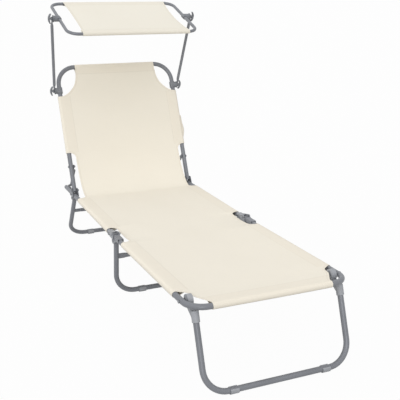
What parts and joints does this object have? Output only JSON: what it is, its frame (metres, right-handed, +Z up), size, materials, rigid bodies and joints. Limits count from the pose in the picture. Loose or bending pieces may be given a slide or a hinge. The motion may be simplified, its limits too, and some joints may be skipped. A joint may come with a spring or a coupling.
{
  "type": "sun lounger with canopy",
  "caption": "Folding sun lounger: bent steel tube frame, stretched cream fabric, reclining back, folding legs and a small tilting canopy on two arms.",
  "frame": {"origin": "on the floor, under the middle of the bounding box", "axes": "+Z up, +Y toward the head end, +X to the right as seen from the foot end"},
  "size_m": [0.6566, 1.6106, 1.0558],
  "materials": {
    "tube_steel": "smooth grey powder coat",
    "bracket_steel": "light grey powder coat",
    "plastic": "moulded light grey, fine grain",
    "fasteners": "zinc plated",
    "fabric": "plain woven cream polyester, stitched hems"
  },
  "bodies": {
    "seat": {"seat_cloth": "fabric", "seat_rail_left": "tube_steel", "seat_rail_right": "tube_steel", "rear_bracket_left": "bracket_steel", "rear_bracket_right": "bracket_steel", "middle_bracket_left": "bracket_steel", "middle_bracket_right": "bracket_steel", "rack_plate_left": "tube_steel", "rack_plate_right": "tube_steel", "backrest_bolt_left": "fasteners", "backrest_bolt_right": "fasteners", "rear_leg_bolt_left": "fasteners", "rear_leg_bolt_right": "fasteners", "foot_bolt_left": "fasteners", "foot_bolt_right": "fasteners", "middle_leg_bolt_left": "fasteners", "middle_leg_bolt_right": "fasteners", "rear_rivet_left": "fasteners", "rear_rivet_right": "fasteners", "middle_rivet_left": "fasteners", "middle_rivet_right": "fasteners"},
    "backrest": {"backrest_tube": "tube_steel", "backrest_cloth": "fabric", "side_pocket": "fabric", "canopy_clamp_lower_left": "plastic", "canopy_clamp_lower_right": "plastic", "strut_bolt_left": "fasteners", "strut_bolt_right": "fasteners"},
    "strut_left": {"strut_left": "tube_steel"},
    "strut_right": {"strut_right": "tube_steel"},
    "canopy_arms": {"canopy_arm_left": "tube_steel", "canopy_arm_right": "tube_steel"},
    "canopy": {"canopy_frame": "tube_steel", "canopy_cloth": "fabric", "canopy_clamp_upper_left": "plastic", "canopy_clamp_upper_right": "plastic"},
    "knob_lower_left": {"knob_lower_left": "plastic"},
    "knob_lower_right": {"knob_lower_right": "plastic"},
    "knob_upper_left": {"knob_upper_left": "plastic"},
    "knob_upper_right": {"knob_upper_right": "plastic"},
    "foot_section": {"foot_tube": "tube_steel", "foot_cloth": "fabric", "foot_hinge_left": "tube_steel", "foot_hinge_right": "tube_steel", "front_leg_bolt_left": "fasteners", "front_leg_bolt_right": "fasteners"},
    "front_leg": {"front_leg_tube": "tube_steel", "front_leg_knuckle_left": "plastic", "front_leg_knuckle_right": "plastic", "front_leg_clip_left": "plastic", "front_leg_clip_right": "plastic"},
    "middle_leg": {"middle_leg_tube": "tube_steel", "middle_leg_brace": "tube_steel", "middle_leg_clip_left": "plastic", "middle_leg_clip_right": "plastic"},
    "rear_leg": {"rear_leg_tube": "tube_steel", "rear_leg_brace": "tube_steel", "rear_leg_clip_left": "plastic", "rear_leg_clip_right": "plastic"}
  },
  "joints": [
    {"name": "backrest_recline", "type": "hinge", "parent": "seat", "child": "backrest", "pos_m": [0, 0.56629, 0.2697], "axis": [1, 0, 0], "range_deg": [-65.7, 12]},
    {"name": "strut_left_swing", "type": "hinge", "parent": "backrest", "child": "strut_left", "pos_m": [0, 0.60995, 0.3664], "axis": [1, 0, 0], "range_deg": [-18.5, 100.5]},
    {"name": "strut_right_swing", "type": "hinge", "parent": "backrest", "child": "strut_right", "pos_m": [0, 0.60995, 0.3664], "axis": [1, 0, 0], "range_deg": [-18.5, 100.5]},
    {"name": "canopy_arm_swing", "type": "hinge", "parent": "backrest", "child": "canopy_arms", "pos_m": [0, 0.75143, 0.67974], "axis": [1, 0, 0], "range_deg": [-150, 100]},
    {"name": "canopy_tilt", "type": "hinge", "parent": "canopy_arms", "child": "canopy", "pos_m": [0, 0.63977, 0.99505], "axis": [1, 0, 0], "range_deg": [-90, 90]},
    {"name": "knob_lower_left_turn", "type": "hinge", "parent": "canopy_arms", "child": "knob_lower_left", "pos_m": [0, 0.75143, 0.67974], "axis": [1, 0, 0], "continuous": true},
    {"name": "knob_lower_right_turn", "type": "hinge", "parent": "canopy_arms", "child": "knob_lower_right", "pos_m": [0, 0.75143, 0.67974], "axis": [1, 0, 0], "continuous": true},
    {"name": "knob_upper_left_turn", "type": "hinge", "parent": "canopy", "child": "knob_upper_left", "pos_m": [0, 0.63977, 0.99505], "axis": [1, 0, 0], "continuous": true},
    {"name": "knob_upper_right_turn", "type": "hinge", "parent": "canopy", "child": "knob_upper_right", "pos_m": [0, 0.63977, 0.99505], "axis": [1, 0, 0], "continuous": true},
    {"name": "foot_section_fold", "type": "hinge", "parent": "seat", "child": "foot_section", "pos_m": [0, -0.02771, 0.2613], "axis": [1, 0, 0], "range_deg": [-158, 0]},
    {"name": "front_leg_fold", "type": "hinge", "parent": "foot_section", "child": "front_leg", "pos_m": [0, -0.66433, 0.26178], "axis": [1, 0, 0], "range_deg": [0, 113]},
    {"name": "middle_leg_fold", "type": "hinge", "parent": "seat", "child": "middle_leg", "pos_m": [0, -0.00891, 0.229], "axis": [1, 0, 0], "range_deg": [-90, 0]},
    {"name": "rear_leg_fold", "type": "hinge", "parent": "seat", "child": "rear_leg", "pos_m": [0, 0.59569, 0.229], "axis": [1, 0, 0], "range_deg": [-118, 0]}
  ],
  "couplings": [
    {"joint": "strut_left_swing", "follows": "backrest_recline", "ratio": -1.5277},
    {"joint": "strut_right_swing", "follows": "backrest_recline", "ratio": -1.5277}
  ]
}
